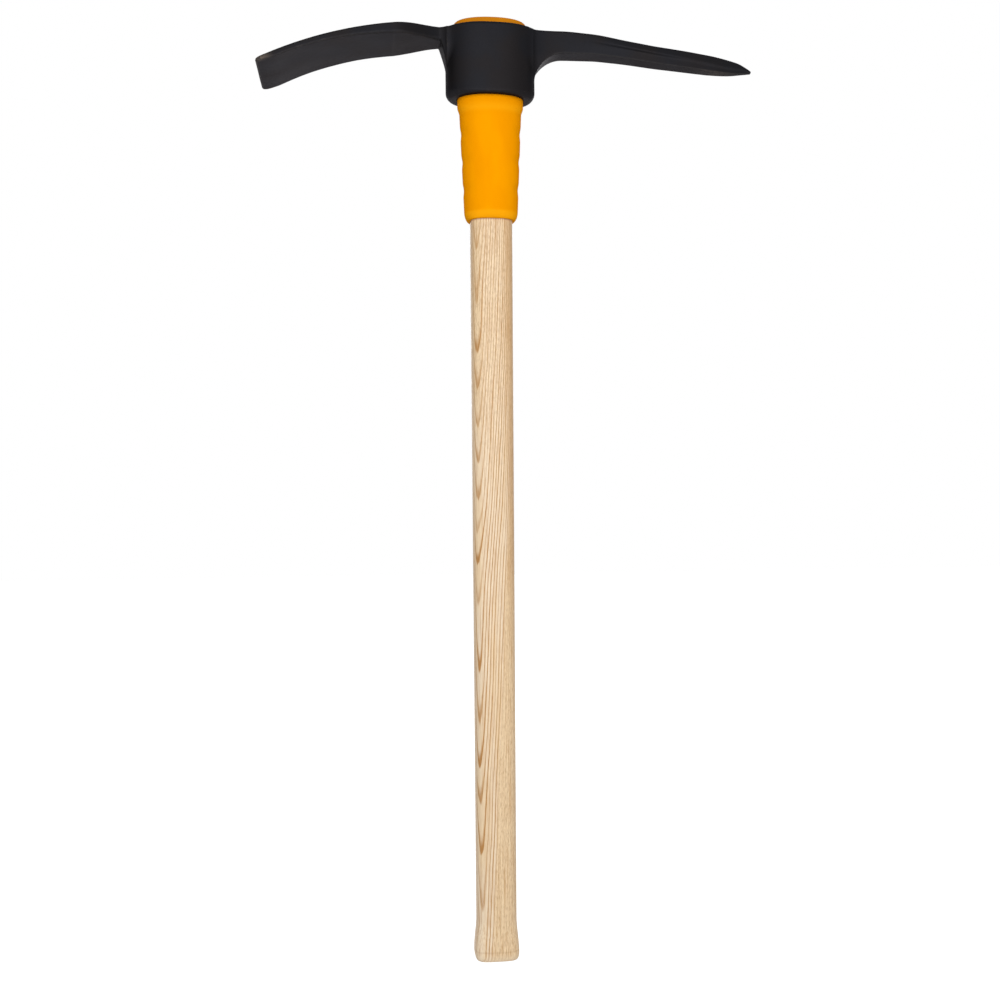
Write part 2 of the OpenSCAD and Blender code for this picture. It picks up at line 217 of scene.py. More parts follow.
def layered(colour, *layers):
    """A colour with others laid over it in turn, each by its own factor from 0 to 1."""
    for over, factor in layers:
        sockets = {MIX_FACTOR: factor, MIX_FIRST: colour, MIX_SECOND: over}
        colour = factor.tree.node("ShaderNodeMix", {"data_type": "RGBA"}, sockets, output=MIX_COLOUR)
    return colour


def grain(vector, sizes, detail=2.0, rough=0.5):
    """Noise from 0 to 1 whose blots measure about these millimetres, one size or three for X, Y and Z."""
    place = stretched(vector, tuple(np.ones(3) / sizes))
    sockets = {"Vector": place, "Scale": 1.0, "Detail": detail, "Roughness": rough}
    return vector.tree.node("ShaderNodeTexNoise", None, sockets)


def bumped(height, depth_mm, strength=1.0):
    sockets = {"Strength": strength, "Distance": depth_mm / METRE, "Height": height}
    return height.tree.node("ShaderNodeBump", None, sockets)


def finished(tree, sockets):
    """The tree's material, with a Principled shader of these sockets as its surface."""
    surface = tree.node("ShaderNodeBsdfPrincipled", None, sockets)
    tree.node("ShaderNodeOutputMaterial", None, {"Surface": surface})
    return tree.owner


def dress(piece, finish):
    """Give a piece its finish, in place of any other."""
    piece.data.materials.clear()
    piece.data.materials.append(finish)
    print(piece.name, "is finished in", finish.name)


print("middle grey in linear light:", np.round(srgb(128, 128, 128)[:3], 3))

# %% [markdown]
# The tool stands in a plain white studio. The world could simply be bright, but then the object would be
# lit as strongly as the background is white. So the world has two faces: rays that come straight from the
# camera, or from a gloss, find white, and the rays that gather light find a calm grey.

# %% White surroundings
GATHERED_LIGHT = 0.48


def seen_directly(tree):
    """1 for the rays that show the background, and 0 for those that gather light."""
    kinds = ("Is Camera Ray", "Is Glossy Ray", "Is Transmission Ray")
    camera, gloss, clear = (tree.node("ShaderNodeLightPath", output=kind) for kind in kinds)
    return camera.larger(gloss).larger(clear)


def white_world():
    tree = Tree(bpy.data.worlds.new("white_studio"))
    white = (1, 1, 1, 1)
    calm = tree.node("ShaderNodeBackground", None, {"Color": white, "Strength": GATHERED_LIGHT})
    bright = tree.node("ShaderNodeBackground", None, {"Color": white, "Strength": 1.0})
    sky = tree.node("ShaderNodeMixShader", None, {0: seen_directly(tree), 1: calm, 2: bright})
    tree.node("ShaderNodeOutputWorld", None, {"Surface": sky})
    return tree.owner


bpy.context.scene.world = white_world()
print("the studio gathers", GATHERED_LIGHT, "of white")

# %% [markdown]
# The floor is a wide pale sheet at the height of the butt. A matt floor alone would turn grey towards the
# horizon, so it also glows for the rays that show the background. The glow stops short of white, which
# leaves room for the soft shadow where the butt stands.

# %% Pale floor
FLOOR_HALF = 6000.0
FLOOR_PALE = (0.5, 0.5, 0.5, 1)
FLOOR_GLOW = 0.88


def floor_finish():
    tree = Tree(bpy.data.materials.new("pale_floor"))
    matt = tree.node("ShaderNodeBsdfDiffuse", None, {"Color": FLOOR_PALE})
    glow = tree.node("ShaderNodeEmission", None, {"Strength": FLOOR_GLOW})
    lit = tree.node("ShaderNodeAddShader", None, {0: matt, 1: glow})
    surface = tree.node("ShaderNodeMixShader", None, {0: seen_directly(tree), 1: matt, 2: lit})
    tree.node("ShaderNodeOutputMaterial", None, {"Surface": surface})
    return tree.owner


def mesh_of(name, points, faces):
    """A mesh over points that are given in millimetres."""
    mesh = bpy.data.meshes.new(name)
    mesh.from_pydata((np.array(points) / METRE).tolist(), [], faces)
    return mesh


def pale_floor():
    corners = np.array([(-1, -1, 0), (1, -1, 0), (1, 1, 0), (-1, 1, 0)]) * FLOOR_HALF
    mesh = mesh_of("pale_floor", corners, [(0, 1, 2, 3)])
    mesh.materials.append(floor_finish())
    return placed("pale_floor", mesh)


pale_floor()
print("floor", 2 * FLOOR_HALF / METRE, "m wide")

# %% [markdown]
# The photograph is lit from the camera's side by a very wide soft source: the black head shines over the
# middle of every round front and stays dark on the flanks, while the orange sleeve is almost even. A wide
# flat oval of light round the camera does both. A weaker one straight behind keeps the back readable and
# never shows in the front.

# %% Soft lamps
AIM_HEIGHT = 560.0


def soft_lamp(name, azimuth, distance, height, width, tall, watts):
    """An oval of light that stands round the tool and looks at it."""
    data = bpy.data.lights.new(name, "AREA")
    data.shape = "ELLIPSE"
    data.size = width / METRE
    data.size_y = tall / METRE
    data.energy = watts
    turn = math.radians(azimuth)
    place = Vector((distance * math.sin(turn), -distance * math.cos(turn), height)) / METRE
    lamp = placed(name, data)
    lamp.location = place
    lamp.rotation_euler = (Vector((0, 0, AIM_HEIGHT / METRE)) - place).to_track_quat("-Z", "Y").to_euler()
    lamp.visible_camera = False
    return lamp


soft_lamp("front_light", azimuth=-4, distance=1700, height=880, width=2800, tall=1440, watts=24.7)
soft_lamp("back_light", azimuth=173, distance=1800, height=900, width=1600, tall=1000, watts=9.0)

# %% [markdown]
# Every mesh in this lesson starts as plain arrays of points and faces. One helper turns such arrays into
# an object: it shades the faces smooth, keeps an edge crisp where two faces meet at a steep angle, lets
# the object ride with the tool, and hides the imported node that it stands for.

# %% From arrays to a piece
def piece_from(name, points, faces, node, crisp_angle):
    mesh = mesh_of(name, points, faces)
    mesh.validate()
    mesh.shade_smooth()
    mesh.set_sharp_from_angle(angle=math.radians(crisp_angle))
    piece = placed(name, mesh)
    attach(piece, "root")
    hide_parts(node)
    print(name, "has", len(mesh.vertices), "points and", len(mesh.polygons), "faces")
    return piece


# %% [markdown]
# The head is one forging: a tapered eye with an adze blade on one side and a pick on the other, all
# flowing into each other. Joining three meshes would leave hard seams where a forging has soft fillets.
# So the head is described as a distance field instead, a function that is below zero inside the steel.
# Fields can be joined with a rounded crossing, and a mesh is drawn over their zero level at the end.

# %% Distances that can be joined softly
TINY = 1e-6


def soft_max(first, second, radius):
    """The larger of two distances, rounded where they cross."""
    nearness = np.clip(1 - np.abs(first - second) / radius, 0, None)
    return np.maximum(first, second) + nearness ** 2 * radius / 4


def soft_min(first, second, radius):
    return -soft_max(-first, -second, radius)


def rounded_corner(across, down, radius):
    """Distance from a corner whose two sides lie at zero, with its edge rounded off."""
    out_across = np.maximum(across + radius, 0)
    out_down = np.maximum(down + radius, 0)
    return np.hypot(out_across, out_down) + np.minimum(np.maximum(across, down) + radius, 0) - radius


def oval_distance(x, y, width, depth, square):
    """Distance from an oval, where square 2 is an ellipse and more is closer to a rectangle."""
    across = np.abs(x) / (width / 2) + TINY
    deep = np.abs(y) / (depth / 2) + TINY
    size = (across ** square + deep ** square) ** (1 / square)
    slope_across = (across / size) ** (square - 1) / (width / 2)
    slope_deep = (deep / size) ** (square - 1) / (depth / 2)
    return (size - 1) / np.hypot(slope_across, slope_deep)


print("a point 5 mm outside a 20 mm circle:", round(float(oval_distance(15.0, 0.0, 20, 20, 2)), 3))

# %% [markdown]
# The eye is the oval block that the sleeve is driven into. Seen from above it is nearly an ellipse, a
# little squarer towards its top, where the rim falls away over both ends. Its lower edge is crisp in
# front and well rounded at the ends. Its bore widens upwards, because the head is put on from the butt's
# end and must not fly off over the top. Extruding an oval would give the block too, but only a field can
# flow into the arms later.

# %% The eye and its bore
head_low, head_high = node_box("mattock_head")
EYE_TOP = head_high[2]
EYE_BOTTOM = head_low[2]
EYE_H = EYE_TOP - EYE_BOTTOM
EYE_W, EYE_D = 87.4, 58.1
EYE_FALL, EYE_FALL_AT = 0.22, 35.0
EYE_BOTTOM_SQUARE, EYE_TOP_SQUARE = 2.2, 2.4
EYE_FRONT_EDGE, EYE_END_EDGE, EYE_TOP_EDGE = 2.8, 7.5, 3.0
BORE_BOTTOM_W, BORE_BOTTOM_D = 65.0, 43.7
BORE_TAPER_W, BORE_TAPER_D = 8.4, 4.6
SLEEVE_SQUARE, CROWN_SQUARE = 2.1, 2.2


def mix(start, end, share):
    return start + (end - start) * share


def eye_field(x, y, z):
    rise = np.clip((z - EYE_BOTTOM) / EYE_H, 0, 1)
    wall = oval_distance(x, y, EYE_W, EYE_D, mix(EYE_BOTTOM_SQUARE, EYE_TOP_SQUARE, rise))
    lower_edge = mix(EYE_FRONT_EDGE, EYE_END_EDGE, np.clip(np.abs(x) / (EYE_W / 2), 0, 1) ** 2)
    lower = rounded_corner(wall, EYE_BOTTOM - z, lower_edge)
    fallen = EYE_FALL * np.maximum(np.abs(x) - EYE_FALL_AT, 0)
    upper = rounded_corner(wall, z + fallen - EYE_TOP, EYE_TOP_EDGE)
    return np.maximum(lower, upper)


def bore_field(x, y, z):
    rise = (z - EYE_BOTTOM) / EYE_H
    return oval_distance(x, y, BORE_BOTTOM_W + BORE_TAPER_W * rise, BORE_BOTTOM_D + BORE_TAPER_D * rise,
                         mix(SLEEVE_SQUARE, CROWN_SQUARE, np.clip(rise, 0, 1)))


print("eye from", round(EYE_BOTTOM, 1), "to", round(EYE_TOP, 1), "mm")

# %% [markdown]
# The adze is a blade that curves down in one long arc. It is thick and narrow at its neck, swells into
# shoulders, widens to the cutting edge and thins out to a bevel. A gusset under the neck runs out down
# the eye. Bending a box after it is made would do, but a field can be bent for nothing: each point is
# first turned into its place along the arc and its depth below the arc, and there the blade is only a box
# with a changing width and thickness.

# %% The adze blade
ARM_EXIT = EYE_W / 2
ARM_ROOT_SIDE = 4.0
GUSSET_TAPER = 0.75
ADZE_REACH = -head_low[0]
ADZE_EDGE_W = head_high[1] - head_low[1]
ADZE_NECK_W, ADZE_SHOULDER_W, ADZE_SHOULDER_AT = 25.0, 63.5, 96.0
ADZE_NECK_T, ADZE_SHOULDER_T, ADZE_BLADE_T, ADZE_EDGE_T = 13.0, 10.4, 5.6, 2.2
ADZE_BEVEL = 20.0
ADZE_HOLLOW_RUN, ADZE_HOLLOW_H, ADZE_HOLLOW_POWER = 6.4, 27.0, 0.7
ADZE_ARC_R, ADZE_LEVEL_AT, ADZE_DROP = 400.0, 36.0, 1.2
ADZE_UNDER_CORNER_SHARE, ADZE_TOP_CORNER_SHARE = 0.25, 0.15
ADZE_PLAN_CORNER = 5.0


def ease(share):
    """A smooth rise from 0 to 1."""
    kept = np.clip(share, 0, 1)
    return kept * kept * (3 - 2 * kept)


def shoulder_share(station):
    return ease((station - ARM_EXIT) / (ADZE_SHOULDER_AT - ARM_EXIT))


def adze_half_width(station):
    beyond = (station - ADZE_SHOULDER_AT) / (ADZE_REACH - ADZE_SHOULDER_AT)
    near = mix(ADZE_NECK_W, ADZE_SHOULDER_W, shoulder_share(station))
    far = mix(ADZE_SHOULDER_W, ADZE_EDGE_W, beyond)
    return np.where(station < ADZE_SHOULDER_AT, near, far) / 2


def adze_thickness(station):
    bevel_at = ADZE_REACH - ADZE_BEVEL
    left = 1 - np.clip((station - ADZE_SHOULDER_AT) / (bevel_at - ADZE_SHOULDER_AT), 0, 1)
    near = mix(ADZE_NECK_T, ADZE_SHOULDER_T, shoulder_share(station))
    far = mix(ADZE_BLADE_T, ADZE_SHOULDER_T, left ** 2)
    bevel = mix(ADZE_BLADE_T, ADZE_EDGE_T, np.clip((station - bevel_at) / ADZE_BEVEL, 0, 1) ** 2)
    return np.where(station < ADZE_SHOULDER_AT, near, np.where(station < bevel_at, far, bevel))


def gusset_share(below, height):
    """What is left of an arm's width in the gusset under its root, some way below the arm."""
    return 1 - GUSSET_TAPER * np.clip(below / height, 0, 1) ** 2


def adze_field(x, y, z):
    outward = -x - ADZE_LEVEL_AT
    upward = z - (EYE_TOP - ADZE_DROP - ADZE_ARC_R)
    radius = np.hypot(outward, upward)
    station = ADZE_LEVEL_AT + ADZE_ARC_R * outward / radius
    depth = ADZE_ARC_R - radius
    root = 1 - np.clip((station - ARM_EXIT) / ADZE_HOLLOW_RUN, 0, 1) ** ADZE_HOLLOW_POWER
    thick = adze_thickness(station)
    half_w = (adze_half_width(station) + ARM_ROOT_SIDE * root) * gusset_share(depth - thick, ADZE_HOLLOW_H)
    plan = rounded_corner(np.abs(y) - half_w, station - ADZE_REACH, ADZE_PLAN_CORNER)
    under = rounded_corner(plan, depth - thick - ADZE_HOLLOW_H * root, thick * ADZE_UNDER_CORNER_SHARE)
    top = rounded_corner(plan, -depth, thick * ADZE_TOP_CORNER_SHARE)
    return np.maximum(under, top)


print("adze reaches", round(ADZE_REACH, 1), "mm and is", round(ADZE_EDGE_W, 1), "mm wide at its edge")

# %% [markdown]
# The pick is a six-sided bar: a flat top, a narrower bottom, and a ridge along each flank that wanders
# down from its root to its tip, with the shallow crease that the forging dies left on it. Its curve has
# no simple formula, so its height, width, fall and ridge are short tables of shares along its length,
# with a smooth line drawn through them. Six planes then bound each section, and the ridges are rounder at
# the root than along the bar.

# %% The pick
PICK_REACH = head_high[0]
PICK_ROOT_W, PICK_ROOT_T, PICK_TIP_W, PICK_TIP_T = 28.0, 22.2, 5.0, 2.4
PICK_FALL, PICK_DROP, PICK_SLOPE = 29.5, 1.0, 1.4
PICK_HOLLOW_RUN, PICK_HOLLOW_H, HOLLOW_SINK_SHARE = 31.0, 33.0, 0.08
PICK_SOFT_EDGE, PICK_CRISP_EDGE, PICK_TOP_EDGE, PICK_TIP_EDGE = 9.0, 1.2, 2.5, 0.8
PICK_SOFT_KEEL, PICK_CRISP_KEEL = 1.4, 0.9
PICK_ALONG_SHARES = [0, 0.14, 0.28, 0.42, 0.56, 0.7, 0.82, 0.9, 0.96, 1]
PICK_SHARES = {
    "fall": [0, -0.02, 0.05, 0.21, 0.365, 0.475, 0.59, 0.69, 0.79, 1],
    "height": [1, 0.97, 0.86, 0.76, 0.71, 0.7, 0.66, 0.56, 0.35, 0],
    "width": [1, 0.93, 0.86, 0.8, 0.75, 0.68, 0.54, 0.35, 0.15, 0],
    "ridge": [0.3, 0.36, 0.43, 0.47, 0.5, 0.55, 0.62, 0.66, 0.62, 0.5],
    "crisp": [0.15, 0.35, 0.8, 1, 1, 1, 1, 1, 1, 1],
    "keel": [0.9, 0.88, 0.84, 0.8, 0.77, 0.74, 0.7, 0.62, 0.54, 0.5],
}
PICK_CREASE_START, PICK_CREASE_END, PICK_CREASE_FADE = 90.0, 204.0, 44.0
PICK_CREASE_DEPTH, PICK_CREASE_HALF = 0.35, 0.85
CURVE_STEPS, CURVE_BLUR = 600, 41


def hollow(share):
    """A quarter-round: 1 where it starts and 0 where it has run out."""
    kept = np.clip(share, 0, 1)
    return 1 - np.sqrt(1 - (1 - kept) ** 2)


def smooth_table(shares):
    """A smooth line through a table of shares: straight runs, then a running mean that keeps both ends."""
    steps = np.linspace(0, 1, CURVE_STEPS)
    straight = np.interp(steps, PICK_ALONG_SHARES, shares)
    half = CURVE_BLUR // 2
    before = 2 * straight[0] - straight[half:0:-1]
    after = 2 * straight[-1] - straight[-2:-half - 2:-1]
    padded = np.concatenate([before, straight, after])
    return steps, np.convolve(padded, np.ones(CURVE_BLUR) / CURVE_BLUR, mode="valid")


PICK_CURVES = {name: smooth_table(shares) for name, shares in PICK_SHARES.items()}


def pick_share(curve, share):
    return np.interp(share, *PICK_CURVES[curve])


def pick_levels(x):
    """Shares of the pick's length and of its gusset, and the heights of its top, bottom and ridges."""
    share = np.clip((x - ARM_EXIT) / (PICK_REACH - ARM_EXIT), 0, 1)
    root = hollow((x - ARM_EXIT) / PICK_HOLLOW_RUN + HOLLOW_SINK_SHARE)
    top = EYE_TOP - PICK_DROP - PICK_FALL * pick_share("fall", share)
    low = top - mix(PICK_TIP_T, PICK_ROOT_T, pick_share("height", share)) - PICK_HOLLOW_H * root
    return share, root, top, low, mix(top, low, pick_share("ridge", share))


def pick_crease(x, z):
    """1 in the middle of the crease that the dies leave along each ridge, and 0 away from it."""
    ridge = pick_levels(x)[-1]
    starting = ease((x - PICK_CREASE_START) / PICK_CREASE_FADE)
    ending = ease((PICK_CREASE_END - x) / PICK_CREASE_FADE)
    return starting * ending * np.exp(-((z - ridge) / PICK_CREASE_HALF) ** 2)


def pick_field(x, y, z):
    share, root, top, low, ridge = pick_levels(x)
    crisp = pick_share("crisp", share)
    half_w = mix(PICK_TIP_W, PICK_ROOT_W, pick_share("width", share)) / 2 + ARM_ROOT_SIDE * root
    half_w = half_w * gusset_share(low + PICK_HOLLOW_H * root - z, PICK_HOLLOW_H)
    top_lean = np.minimum(PICK_SLOPE, half_w / 2) * crisp
    keel_lean = half_w * (1 - pick_share("keel", share))
    aside = np.abs(y) - half_w
    upper_h = np.maximum(top - ridge, TINY)
    lower_h = np.maximum(ridge - low, TINY)
    upper = (aside * upper_h + (z - ridge) * top_lean) / np.hypot(upper_h, top_lean)
    lower = (aside * lower_h - (z - ridge) * keel_lean) / np.hypot(lower_h, keel_lean)
    flank = soft_max(upper, lower, mix(PICK_SOFT_EDGE, PICK_CRISP_EDGE, crisp))
    flank = flank + PICK_CREASE_DEPTH * pick_crease(x, z)
    bar = soft_max(flank, z - top, np.minimum(PICK_TOP_EDGE, (top - low) / 3))
    keel_edge = np.minimum(mix(PICK_SOFT_KEEL, PICK_CRISP_KEEL, crisp), (top - low) / 2)
    bar = soft_max(bar, low - z, keel_edge)
    return soft_max(bar, x - PICK_REACH, PICK_TIP_EDGE)


print("pick reaches", round(PICK_REACH, 1), "mm")

# %% [markdown]
# The whole head joins the two arms to the eye with a soft fillet, and then takes the bore away. The
# bore's edges are eased a little too, as a forging's are after it has been cleaned up.

# %% The whole head
ARM_FILLET = 4.0
BORE_EDGE = 1.0


def head_field(x, y, z):
    arms = np.where(x < 0, adze_field(x, y, z), pick_field(x, y, z))
    steel = soft_min(eye_field(x, y, z), arms, ARM_FILLET)
    return soft_max(steel, -bore_field(x, y, z), BORE_EDGE)


bore_middle = head_field(0.0, 0.0, EYE_TOP - EYE_H / 2)
print("middle of the bore is", round(float(bore_middle), 1), "mm outside the steel")

# %% [markdown]
# To draw a mesh over the field's zero level, space is filled with small cubes. A cube that the surface
# passes through gets one point, the mean of the places where its edges are crossed, and every crossed
# edge joins the four cubes round it with one face. This is the surface-nets method: short, even, and made
# of four-sided faces.

# %% Surface nets
def crossings(field, axis):
    """Which grid edges along an axis are crossed, at what share, and which of them start inside."""
    start = np.take(field, range(field.shape[axis] - 1), axis)
    end = np.take(field, range(1, field.shape[axis]), axis)
    crossed = (start < 0) != (end < 0)
    share = np.where(crossed, start / np.where(crossed, start - end, 1), 0)
    return crossed, share, start < 0


def surface_net(field):
    """Points, in grid steps, and four-sided faces over the zero level of a sampled field."""
    cells = tuple(count - 1 for count in field.shape)
    total = np.zeros(cells)
    sums = np.zeros((3, *cells))
    steps = np.indices(cells)
    edges = [crossings(field, axis) for axis in range(3)]
    for axis, (crossed, share, _) in enumerate(edges):
        others = [other for other in range(3) if other != axis]
        for shifts in ((0, 0), (0, 1), (1, 0), (1, 1)):
            window = [slice(None)] * 3
            for other, shift in zip(others, shifts):
                window[other] = slice(shift, shift + cells[other])
            hit = crossed[tuple(window)]
            total += hit
            sums[axis] += hit * (steps[axis] + share[tuple(window)])
            for other, shift in zip(others, shifts):
                sums[other] += hit * (steps[other] + shift)
    used = total > 0
    number = np.full(cells, -1)
    number[used] = np.arange(used.sum())
    points = (sums[:, used] / total[used]).T
    faces = [net_faces(number, crossed, inside, axis) for axis, (crossed, _, inside) in enumerate(edges)]
    return points, np.concatenate(faces)


def net_faces(number, crossed, inside, axis):
    """One face for every crossed edge along an axis, turned so that it looks out of the solid."""
    second, third = (axis + 1) % 3, (axis + 2) % 3
    places = np.argwhere(crossed)
    outward = inside[crossed]
    corners = []
    for back_second, back_third in ((1, 1), (0, 1), (0, 0), (1, 0)):
        cell = places.copy()
        cell[:, second] -= back_second
        cell[:, third] -= back_third
        corners.append(number[tuple(cell.T)])
    faces = np.stack(corners, 1)
    return np.where(outward[:, None], faces, faces[:, ::-1])


print("surface nets ready")

# %% [markdown]
# The net follows the grid in small steps, so it is settled before use: each point moves towards the
# middle of its neighbours, which evens out the faces, and is then pulled back onto the field's zero
# level. A few rounds of this give a mesh that is as smooth as the formulas are.

# %% Settle the net onto the steel
GRID_STEP = np.array([1.3, 0.75, 0.75])
GRID_MARGIN = 3.0
SETTLE_ROUNDS, SETTLE_SHARE, PULL_ROUNDS = 4, 0.5, 3
SLOPE_STEP, LEAST_STEEPNESS = 0.05, 0.1


def sampled_field(field, low, high):
    axes = [np.arange(a, b, step) for a, b, step in zip(low, high, GRID_STEP)]
    slabs = [field(*np.meshgrid([x], axes[1], axes[2], indexing="ij")) for x in axes[0]]
    return np.concatenate(slabs)


def field_slope(field, points):
    """Direction in which the field grows fastest, at each point."""
    steps = np.eye(3) * SLOPE_STEP
    rises = [field(*(points + step).T) - field(*(points - step).T) for step in steps]
    return np.stack(rises, 1) / (2 * SLOPE_STEP)


def neighbour_means(points, faces):
    """The middle of each point's neighbours."""
    starts = faces.ravel()
    ends = np.roll(faces, -1, axis=1).ravel()
    both = np.concatenate([starts, ends])
    other = np.concatenate([ends, starts])
    count = np.bincount(both, minlength=len(points))
    sums = [np.bincount(both, weights=points[other, axis], minlength=len(points)) for axis in range(3)]
    return np.stack(sums, 1) / count[:, None]


def onto_surface(field, points):
    slope = field_slope(field, points)
    steepness = np.maximum((slope ** 2).sum(1), LEAST_STEEPNESS)
    move = -(field(*points.T) / steepness)[:, None] * slope
    length = np.linalg.norm(move, axis=1, keepdims=True)
    return points + move * np.minimum(1, GRID_STEP.min() / np.maximum(length, TINY))


def settled(field, points, faces):
    for _ in range(SETTLE_ROUNDS):
        points = mix(points, neighbour_means(points, faces), SETTLE_SHARE)
        for _ in range(PULL_ROUNDS):
            points = onto_surface(field, points)
    return points


corner_low = head_low - GRID_MARGIN
corner_high = head_high + GRID_MARGIN
net_points, net_quads = surface_net(sampled_field(head_field, corner_low, corner_high))
steel_points = settled(head_field, net_points * GRID_STEP + corner_low, net_quads)
off_level = np.abs(head_field(*steel_points.T)).max()
print("largest distance from the zero level:", round(float(off_level), 3), "mm")

# %% [markdown]
# A hammered and painted forging is never as true as a formula, so its points move in and out by about a
# tenth of a millimetre, in soft blots a few centimetres wide. Each point also remembers some numbers for
# the paint to use: how sharply the steel turns there, whether it lies in the crease, which gets painted
# shade, whether it is an edge that faces down, which gets a painted reflection and some scuffing, and
# whether work has worn it bare, which also holds a painted glint along the pick's keel. A painted mask
# could say the same, but would need the mesh unwrapped first.

# %% The head as a piece
BLOT_SIZE, BLOT_DEPTH = 26.0, 0.16
HEAD_CRISP_ANGLE = 70
EDGE_FULL = 0.3
EDGE_LEFT_ON_PICK = 0.25
CORNER_WEAR_RUN, CORNER_WEAR_W = 20.0, 7.0
# The pale line along the keel near the tip is a painted glint.
KEEL_GLINT_AT, KEEL_GLINT_RUN, KEEL_GLINT_H = 226.0, 26.0, 1.6
CORNER_BARE, KEEL_GLINT = 0.6, 0.22
# Downward edges get a lighter grey: partly scuffing, partly a painted reflection.
SCUFF_REFLECTION_FULL, SCUFF_REFLECTION_TURN, SCUFF_REFLECTION_ON_EYE = 0.22, 0.85, 0.42

slopes = field_slope(head_field, steel_points)
normals = slopes / np.maximum(np.linalg.norm(slopes, axis=1, keepdims=True), TINY)
blots = np.array([noise.noise(Vector(point / BLOT_SIZE)) for point in steel_points])
forged_points = steel_points + normals * (blots * BLOT_DEPTH)[:, None]
sharpness = ((steel_points - neighbour_means(steel_points, net_quads)) * normals).sum(1) / GRID_STEP.max()

forged_head = piece_from("forged_head", forged_points, net_quads.tolist(),
                         "mattock_head", HEAD_CRISP_ANGLE)


def remember(piece, name, values):
    """Store one number per point under a name, for a finish to read."""
    layer = piece.data.attributes.new(name, "FLOAT", "POINT")
    layer.data.foreach_set("value", np.clip(values, 0, 1).astype(np.float32))


px, py, pz = steel_points.T
edge_share = np.clip(sharpness / EDGE_FULL, 0, 1)
crease_share = np.where(px > 0, pick_crease(px, pz), 0)
corner_miss = np.hypot((px + ADZE_REACH) / CORNER_WEAR_RUN, (np.abs(py) - ADZE_EDGE_W / 2) / CORNER_WEAR_W)
keel_glint_miss = np.abs(px - KEEL_GLINT_AT) / KEEL_GLINT_RUN
keel_glint = (1 - ease((pz - pick_levels(px)[3]) / KEEL_GLINT_H)) * (1 - ease(keel_glint_miss))
facing_down = ease(-normals[:, 2] / SCUFF_REFLECTION_TURN)
scuff_reflection_reach = mix(SCUFF_REFLECTION_ON_EYE, 1, ease((np.abs(px) - ARM_EXIT) / ARM_FILLET))
remember(forged_head, "edge", np.where(px > 0, EDGE_LEFT_ON_PICK, 1) * edge_share)
remember(forged_head, "crease", crease_share)
# Painted reflection, with some scuffing, on the edges that face down.
remember(forged_head, "scuff_and_reflection", np.clip(edge_share / SCUFF_REFLECTION_FULL, 0, 1) * facing_down * scuff_reflection_reach)
# Worn corners of the adze, and a painted glint along the pick's keel.
remember(forged_head, "wear_and_glint", np.maximum(CORNER_BARE * (1 - ease(corner_miss)), KEEL_GLINT * keel_glint))
print("share of points on an edge:", round(float((sharpness > EDGE_FULL / 2).mean()), 3))

# %% [markdown]
# The paint is a thin satin black, and the sheen of the steel shows through it. So the shader is partly
# metallic, and a grey tint keeps its reflections at a grazing angle from turning white. One dark colour
# would look like plastic: wide warm and cool blots, a fine pitted skin, painted shade in the crease, a
# lighter grey on the downward edges that is partly scuffing and partly a painted reflection, bare worn
# corners and a painted glint along the pick's keel break it up. The two working ends wear most, so the
# wear grows towards them.

# %% Black paint
PAINT_COOL = srgb(31, 31, 34)
PAINT_WARM = srgb(33, 31, 32)
# Lighter grey for downward edges: scuffing and a painted reflection.
PAINT_SCUFF_AND_REFLECTION = srgb(57, 55, 56)
# Worn steel, also used for the painted glint on the keel.
WORN_STEEL_AND_GLINT = srgb(104, 94, 84)
# Painted shade for the pick's crease.
CREASE_PAINTED_SHADE = srgb(14, 14, 16)
PAINT_GRAZING = (0.56, 0.55, 0.56, 1)
PAINT_SHEEN, PAINT_ROUGHNESS, PAINT_BUMP = 0.7, 0.4, 0.18
PAINT_BLOTS, PAINT_PITS, PAINT_SKIN, RUBBED_SPOTS, BARE_SPOTS = 34, 5, 1.6, 7, 4
BLOT_SPAN, RUBBED_SPAN, BARE_SPAN = (0.35, 0.65), (0.5, 0.66), (0.3, 0.55)
WORKING_END = (150, 224)
CREASE_SHADE_SHARE = 0.6


def head_finish():
    tree, place = new_finish("black_forge_paint")
    blot = grain(place, PAINT_BLOTS, detail=3)
    skin = grain(place, PAINT_SKIN, detail=3, rough=0.6)
    pits = grain(place, PAINT_PITS, detail=4, rough=0.65)
    names = ("edge", "crease", "scuff_and_reflection", "wear_and_glint")
    stored = [tree.node("ShaderNodeAttribute", {"attribute_name": name}, output="Fac") for name in names]
    edge, crease, scuff_and_reflection, wear_and_glint = stored
    working_end = soft_step(abs(axis_of(place, "X")), *WORKING_END)
    rubbed = edge * soft_step(grain(place, RUBBED_SPOTS, detail=3, rough=0.7), *RUBBED_SPAN)
    rubbed = rubbed * (0.25 + 0.6 * working_end)
    bare_and_glint = wear_and_glint * soft_step(grain(place, BARE_SPOTS, detail=3, rough=0.7), *BARE_SPAN)
    colour = layered(
        PAINT_COOL,
        (PAINT_WARM, soft_step(blot, *BLOT_SPAN)),
        # Downward edges: scuffing and a painted reflection.
        (PAINT_SCUFF_AND_REFLECTION, scuff_and_reflection),
        # Worn steel on edges and corners, and a painted glint on the keel.
        (WORN_STEEL_AND_GLINT, rubbed.larger(bare_and_glint)),
        # Painted shade in the pick's crease.
        (CREASE_PAINTED_SHADE, crease * CREASE_SHADE_SHARE))
    return finished(tree, {
        "Base Color": colour,
        "Metallic": PAINT_SHEEN,
        "Roughness": PAINT_ROUGHNESS + 0.07 * blot + 0.06 * pits,
        "Specular IOR Level": 0.0,
        "Specular Tint": PAINT_GRAZING,
        "Normal": bumped(skin * 0.35 + pits, PAINT_BUMP, strength=0.6)})


dress(forged_head, head_finish())

